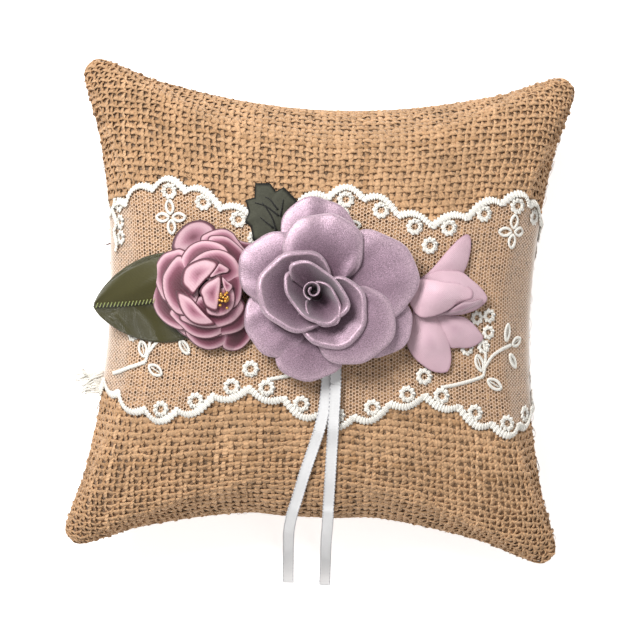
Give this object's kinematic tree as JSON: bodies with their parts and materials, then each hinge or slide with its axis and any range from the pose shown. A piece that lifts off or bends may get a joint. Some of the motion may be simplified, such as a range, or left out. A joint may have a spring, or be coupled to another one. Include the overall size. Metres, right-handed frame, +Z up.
{
  "type": "ring bearer pillow",
  "caption": "Small square burlap pillow with a lace band, fabric flowers and leaves, and a narrow ribbon with two free tails for tying wedding rings.",
  "frame": {"origin": "on the resting plane, under the middle of the pillow, which lies on its back", "axes": "+Z up out of the front panel with the flowers, +Y to the pillow's top edge, +X to the right seen from the front"},
  "size_m": [0.1499, 0.1598, 0.0721],
  "materials": {
    "burlap": "matte",
    "fibrefill": "matte",
    "sewing_thread": "matte",
    "lace": "matte",
    "satin_ribbon": "satin",
    "felt": "matte",
    "lilac_organza": "satin",
    "pink_satin": "satin",
    "gold_bead": "gloss",
    "pale_silk": "satin",
    "olive_satin": "satin",
    "dark_leaf_cloth": "matte"
  },
  "bodies": {
    "pillow": {"back_panel": "burlap", "bloom_petal_bottom": "pale_silk", "bloom_petal_front": "pale_silk", "bloom_petal_low_right": "pale_silk", "bloom_petal_right": "pale_silk", "bloom_petal_top": "pale_silk", "bloom_throat": "pale_silk", "camellia_backing_disc": "felt", "camellia_inner_petal_1": "pink_satin", "camellia_inner_petal_2": "pink_satin", "camellia_inner_petal_3": "pink_satin", "camellia_middle_petal_1": "pink_satin", "camellia_middle_petal_2": "pink_satin", "camellia_middle_petal_3": "pink_satin", "camellia_middle_petal_4": "pink_satin", "camellia_outer_petal_1": "pink_satin", "camellia_outer_petal_2": "pink_satin", "camellia_outer_petal_3": "pink_satin", "camellia_outer_petal_4": "pink_satin", "camellia_outer_petal_5": "pink_satin", "camellia_stamen": "gold_bead", "dark_leaf": "dark_leaf_cloth", "fibrefill_stuffing": "fibrefill", "front_panel": "burlap", "lace_band": "lace", "ribbon_fold": "satin_ribbon", "rose_backing_disc": "felt", "rose_bud": "lilac_organza", "rose_inner_petal_1": "lilac_organza", "rose_inner_petal_2": "lilac_organza", "rose_inner_petal_3": "lilac_organza", "rose_middle_petal_1": "lilac_organza", "rose_middle_petal_2": "lilac_organza", "rose_middle_petal_3": "lilac_organza", "rose_outer_petal_1": "lilac_organza", "rose_outer_petal_2": "lilac_organza", "rose_outer_petal_3": "lilac_organza", "rose_outer_petal_4": "lilac_organza", "rose_outer_petal_5": "lilac_organza", "rose_outer_petal_6": "lilac_organza", "rose_outer_petal_7": "lilac_organza", "satin_leaf": "olive_satin", "seam_thread": "sewing_thread"},
    "ribbon_tail_left": {"ribbon_tail_left": "satin_ribbon"},
    "ribbon_tail_right": {"ribbon_tail_right": "satin_ribbon"}
  },
  "joints": [
    {"name": "left_tail_lift", "type": "hinge", "parent": "pillow", "child": "ribbon_tail_left", "pos_m": [0.00115, -0.0359, 0.05007], "axis": [-1, 0, 0], "range_deg": [0, 60]},
    {"name": "right_tail_lift", "type": "hinge", "parent": "pillow", "child": "ribbon_tail_right", "pos_m": [0.0055, -0.0213, 0.05374], "axis": [-1, 0, 0], "range_deg": [0, 60]}
  ]
}
